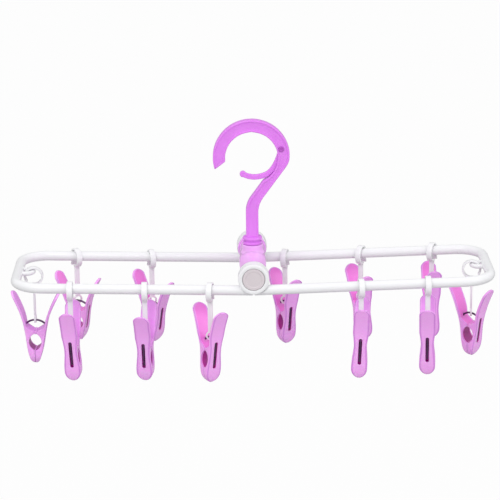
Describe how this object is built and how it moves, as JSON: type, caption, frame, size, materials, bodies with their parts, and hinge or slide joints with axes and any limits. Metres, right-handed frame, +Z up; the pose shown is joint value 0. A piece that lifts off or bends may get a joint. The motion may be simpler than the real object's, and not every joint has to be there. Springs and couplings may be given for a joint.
{
  "type": "clip drying hanger",
  "caption": "Folding drying hanger with a swivelling rail hook, a looped tube frame and clothes pegs that swing on hooked links.",
  "frame": {"origin": "the top of the inside of the rail hook, where it sits on the rail", "axes": "+X along the long bars of the frame, +Y from the front bar to the back bar, +Z up"},
  "size_m": [0.3905, 0.1362, 0.2032],
  "materials": {
    "hook_violet": "opaque violet",
    "peg_violet": "slightly translucent violet",
    "lavender": "pale translucent lavender",
    "white": "white",
    "cap_grey": "pale grey",
    "steel": "dark spring wire"
  },
  "bodies": {
    "hook": {"swivel_hook": "hook_violet", "gate_pin": "hook_violet", "stem_retainer": "steel"},
    "gate": {"hook_gate": "hook_violet"},
    "hub": {"hub_barrel": "lavender", "front_plug": "lavender", "rear_plug": "lavender", "pivot_axle": "steel", "front_cap": "cap_grey", "rear_cap": "cap_grey"},
    "left_arm": {"left_frame": "white"},
    "right_arm": {"right_frame": "white"},
    "link_a": {"link_a": "white"},
    "peg_a_back": {"peg_a_back": "peg_violet", "peg_a_spring": "steel"},
    "peg_a_front": {"peg_a_front": "peg_violet"},
    "link_b": {"link_b": "white"},
    "peg_b_back": {"peg_b_back": "peg_violet", "peg_b_spring": "steel"},
    "peg_b_front": {"peg_b_front": "peg_violet"},
    "link_c": {"link_c": "white"},
    "peg_c_back": {"peg_c_back": "peg_violet", "peg_c_spring": "steel"},
    "peg_c_front": {"peg_c_front": "peg_violet"},
    "link_d": {"link_d": "white"},
    "peg_d_back": {"peg_d_back": "peg_violet", "peg_d_spring": "steel"},
    "peg_d_front": {"peg_d_front": "peg_violet"},
    "link_e": {"link_e": "white"},
    "peg_e_back": {"peg_e_back": "peg_violet", "peg_e_spring": "steel"},
    "peg_e_front": {"peg_e_front": "peg_violet"},
    "link_f": {"link_f": "white"},
    "peg_f_back": {"peg_f_back": "peg_violet", "peg_f_spring": "steel"},
    "peg_f_front": {"peg_f_front": "peg_violet"},
    "link_g": {"link_g": "white"},
    "peg_g_back": {"peg_g_back": "peg_violet", "peg_g_spring": "steel"},
    "peg_g_front": {"peg_g_front": "peg_violet"},
    "link_h": {"link_h": "white"},
    "peg_h_back": {"peg_h_back": "peg_violet", "peg_h_spring": "steel"},
    "peg_h_front": {"peg_h_front": "peg_violet"},
    "link_j": {"link_j": "white"},
    "peg_j_back": {"peg_j_back": "peg_violet", "peg_j_spring": "steel"},
    "peg_j_front": {"peg_j_front": "peg_violet"},
    "link_k": {"link_k": "white"},
    "peg_k_back": {"peg_k_back": "peg_violet", "peg_k_spring": "steel"},
    "peg_k_front": {"peg_k_front": "peg_violet"},
    "link_l": {"link_l": "white"},
    "peg_l_back": {"peg_l_back": "peg_violet", "peg_l_spring": "steel"},
    "peg_l_front": {"peg_l_front": "peg_violet"},
    "link_m": {"link_m": "white"},
    "peg_m_back": {"peg_m_back": "peg_violet", "peg_m_spring": "steel"},
    "peg_m_front": {"peg_m_front": "peg_violet"}
  },
  "joints": [
    {"name": "hub_swivel", "type": "hinge", "parent": "hook", "child": "hub", "pos_m": [0, 0, -0.093], "axis": [0, 0, 1], "continuous": true},
    {"name": "gate_hinge", "type": "hinge", "parent": "hook", "child": "gate", "pos_m": [0.02362, 0, -0.01418], "axis": [0, 1, 0], "range_deg": [0, 38]},
    {"name": "left_fold", "type": "hinge", "parent": "hub", "child": "left_arm", "pos_m": [0, 0, -0.108], "axis": [0, 1, 0], "range_deg": [0, 88.5]},
    {"name": "right_fold", "type": "hinge", "parent": "hub", "child": "right_arm", "pos_m": [0, 0, -0.108], "axis": [0, -1, 0], "range_deg": [0, 88.5]},
    {"name": "link_a_swing", "type": "hinge", "parent": "left_arm", "child": "link_a", "pos_m": [-0.17721, 0, -0.11366], "axis": [0, -1, 0], "range_deg": [-6, 60]},
    {"name": "peg_a_rock", "type": "hinge", "parent": "link_a", "child": "peg_a_back", "pos_m": [-0.17721, 0, -0.15453], "axis": [-0.9986, 0.0523, 0], "range_deg": [-22, 28]},
    {"name": "peg_a_open", "type": "hinge", "parent": "peg_a_back", "child": "peg_a_front", "pos_m": [-0.17714, 0.0005, -0.16412], "axis": [-0.0523, -0.9973, -0.0523], "range_deg": [0, 21], "stiffness_Nm_per_rad": 0.15, "springref_deg": -20.05, "deforming": ["peg_a_spring"]},
    {"name": "link_b_swing", "type": "hinge", "parent": "left_arm", "child": "link_b", "pos_m": [-0.14502, -0.046, -0.11451], "axis": [-0.9997, 0, 0.0262], "range_deg": [-25, 80]},
    {"name": "peg_b_rock", "type": "hinge", "parent": "link_b", "child": "peg_b_back", "pos_m": [-0.14502, -0.046, -0.15361], "axis": [0.0872, 0.9962, 0], "range_deg": [-23.5, 26.5]},
    {"name": "peg_b_open", "type": "hinge", "parent": "peg_b_back", "child": "peg_b_front", "pos_m": [-0.14477, -0.04602, -0.16321], "axis": [-0.9959, 0.0871, -0.0262], "range_deg": [0, 21], "stiffness_Nm_per_rad": 0.15, "springref_deg": -20.05, "deforming": ["peg_b_spring"]},
    {"name": "link_c_swing", "type": "hinge", "parent": "left_arm", "child": "link_c", "pos_m": [-0.08624, -0.046, -0.11605], "axis": [-0.9997, 0, 0.0262], "range_deg": [-25, 80]},
    {"name": "peg_c_rock", "type": "hinge", "parent": "link_c", "child": "peg_c_back", "pos_m": [-0.08624, -0.046, -0.15515], "axis": [0.1736, 0.9848, 0], "range_deg": [-27, 23]},
    {"name": "peg_c_open", "type": "hinge", "parent": "peg_c_back", "child": "peg_c_front", "pos_m": [-0.08658, -0.04602, -0.16475], "axis": [-0.9842, 0.1735, 0.0349], "range_deg": [0, 21], "stiffness_Nm_per_rad": 0.15, "springref_deg": -20.05, "deforming": ["peg_c_spring"]},
    {"name": "link_d_swing", "type": "hinge", "parent": "left_arm", "child": "link_d", "pos_m": [-0.03466, -0.046, -0.1174], "axis": [-0.9997, 0, 0.0262], "range_deg": [-25, 80]},
    {"name": "peg_d_rock", "type": "hinge", "parent": "link_d", "child": "peg_d_back", "pos_m": [-0.03466, -0.046, -0.1564], "axis": [-0.5, 0.866, 0], "range_deg": [-27, 23]},
    {"name": "peg_d_open", "type": "hinge", "parent": "peg_d_back", "child": "peg_d_front", "pos_m": [-0.03497, -0.04613, -0.16599], "axis": [-0.8655, -0.4997, 0.0349], "range_deg": [0, 21], "stiffness_Nm_per_rad": 0.15, "springref_deg": -20.05, "deforming": ["peg_d_spring"]},
    {"name": "link_e_swing", "type": "hinge", "parent": "right_arm", "child": "link_e", "pos_m": [0.08484, -0.046, -0.11608], "axis": [-0.9997, 0, -0.0262], "range_deg": [-25, 80]},
    {"name": "peg_e_rock", "type": "hinge", "parent": "link_e", "child": "peg_e_back", "pos_m": [0.08484, -0.046, -0.15517], "axis": [0.0872, 0.9962, 0], "range_deg": [-28, 22]},
    {"name": "peg_e_open", "type": "hinge", "parent": "peg_e_back", "child": "peg_e_front", "pos_m": [0.08434, -0.04591, -0.16476], "axis": [-0.9948, 0.087, 0.0523], "range_deg": [0, 21], "stiffness_Nm_per_rad": 0.15, "springref_deg": -20.05, "deforming": ["peg_e_spring"]},
    {"name": "link_f_swing", "type": "hinge", "parent": "right_arm", "child": "link_f", "pos_m": [0.13762, -0.046, -0.1147], "axis": [-0.9997, 0, -0.0262], "range_deg": [-25, 80]},
    {"name": "peg_f_rock", "type": "hinge", "parent": "link_f", "child": "peg_f_back", "pos_m": [0.13762, -0.046, -0.1538], "axis": [0.1045, 0.9945, 0], "range_deg": [-25, 25]},
    {"name": "peg_f_open", "type": "hinge", "parent": "peg_f_back", "child": "peg_f_front", "pos_m": [0.13762, -0.04606, -0.1634], "axis": [-0.9945, 0.1045, 0], "range_deg": [0, 21], "stiffness_Nm_per_rad": 0.15, "springref_deg": -20.05, "deforming": ["peg_f_spring"]},
    {"name": "link_g_swing", "type": "hinge", "parent": "left_arm", "child": "link_g", "pos_m": [-0.14522, 0.046, -0.1145], "axis": [0.9997, 0, -0.0262], "range_deg": [-25, 80]},
    {"name": "peg_g_rock", "type": "hinge", "parent": "link_g", "child": "peg_g_back", "pos_m": [-0.14522, 0.046, -0.153], "axis": [0.9272, -0.3746, 0], "range_deg": [-37, 13]},
    {"name": "peg_g_open", "type": "hinge", "parent": "peg_g_back", "child": "peg_g_front", "pos_m": [-0.14437, 0.04781, -0.16239], "axis": [-0.3664, -0.9069, -0.2079], "range_deg": [0, 21], "stiffness_Nm_per_rad": 0.15, "springref_deg": -20.05, "deforming": ["peg_g_spring"]},
    {"name": "link_h_swing", "type": "hinge", "parent": "left_arm", "child": "link_h", "pos_m": [-0.08324, 0.046, -0.11612], "axis": [0.9997, 0, -0.0262], "range_deg": [-25, 80]},
    {"name": "peg_h_rock", "type": "hinge", "parent": "link_h", "child": "peg_h_back", "pos_m": [-0.08324, 0.046, -0.155], "axis": [0.7547, -0.6561, 0], "range_deg": [-34, 16]},
    {"name": "peg_h_open", "type": "hinge", "parent": "peg_h_back", "child": "peg_h_front", "pos_m": [-0.08213, 0.04703, -0.16449], "axis": [-0.648, -0.7454, -0.1564], "range_deg": [0, 21], "stiffness_Nm_per_rad": 0.15, "springref_deg": -20.05, "deforming": ["peg_h_spring"]},
    {"name": "link_j_swing", "type": "hinge", "parent": "right_arm", "child": "link_j", "pos_m": [0.02726, 0.046, -0.11759], "axis": [0.9997, 0, 0.0262], "range_deg": [-25, 80]},
    {"name": "peg_j_rock", "type": "hinge", "parent": "link_j", "child": "peg_j_back", "pos_m": [0.02726, 0.046, -0.15646], "axis": [0.4695, -0.8829, 0], "range_deg": [-27, 23]},
    {"name": "peg_j_open", "type": "hinge", "parent": "peg_j_back", "child": "peg_j_front", "pos_m": [0.02758, 0.04612, -0.16606], "axis": [-0.8824, -0.4692, -0.0349], "range_deg": [0, 21], "stiffness_Nm_per_rad": 0.15, "springref_deg": -20.05, "deforming": ["peg_j_spring"]},
    {"name": "link_k_swing", "type": "hinge", "parent": "right_arm", "child": "link_k", "pos_m": [0.09024, 0.046, -0.11594], "axis": [0.9997, 0, 0.0262], "range_deg": [-25, 80]},
    {"name": "peg_k_rock", "type": "hinge", "parent": "link_k", "child": "peg_k_back", "pos_m": [0.09024, 0.046, -0.15444], "axis": [0.2756, -0.9613, 0], "range_deg": [-30, 20]},
    {"name": "peg_k_open", "type": "hinge", "parent": "peg_k_back", "child": "peg_k_front", "pos_m": [0.09105, 0.04621, -0.164], "axis": [-0.9576, -0.2746, -0.0872], "range_deg": [0, 21], "stiffness_Nm_per_rad": 0.15, "springref_deg": -20.05, "deforming": ["peg_k_spring"]},
    {"name": "link_l_swing", "type": "hinge", "parent": "right_arm", "child": "link_l", "pos_m": [0.14922, 0.046, -0.1144], "axis": [0.9997, 0, 0.0262], "range_deg": [-25, 80]},
    {"name": "peg_l_rock", "type": "hinge", "parent": "link_l", "child": "peg_l_back", "pos_m": [0.14922, 0.046, -0.15289], "axis": [0.0523, -0.9986, 0], "range_deg": [-25, 25]},
    {"name": "peg_l_open", "type": "hinge", "parent": "peg_l_back", "child": "peg_l_front", "pos_m": [0.14922, 0.04606, -0.16249], "axis": [-0.9986, -0.0523, 0], "range_deg": [0, 21], "stiffness_Nm_per_rad": 0.15, "springref_deg": -20.05, "deforming": ["peg_l_spring"]},
    {"name": "link_m_swing", "type": "hinge", "parent": "right_arm", "child": "link_m", "pos_m": [0.17721, 0, -0.11366], "axis": [0, 1, 0], "range_deg": [-6, 60]},
    {"name": "peg_m_rock", "type": "hinge", "parent": "link_m", "child": "peg_m_back", "pos_m": [0.17721, 0, -0.15453], "axis": [0.7431, -0.6691, 0], "range_deg": [-30, 20]},
    {"name": "peg_m_open", "type": "hinge", "parent": "peg_m_back", "child": "peg_m_front", "pos_m": [0.1778, 0.00059, -0.16409], "axis": [0.6666, 0.7403, 0.0872], "range_deg": [0, 21], "stiffness_Nm_per_rad": 0.15, "springref_deg": -20.05, "deforming": ["peg_m_spring"]}
  ]
}
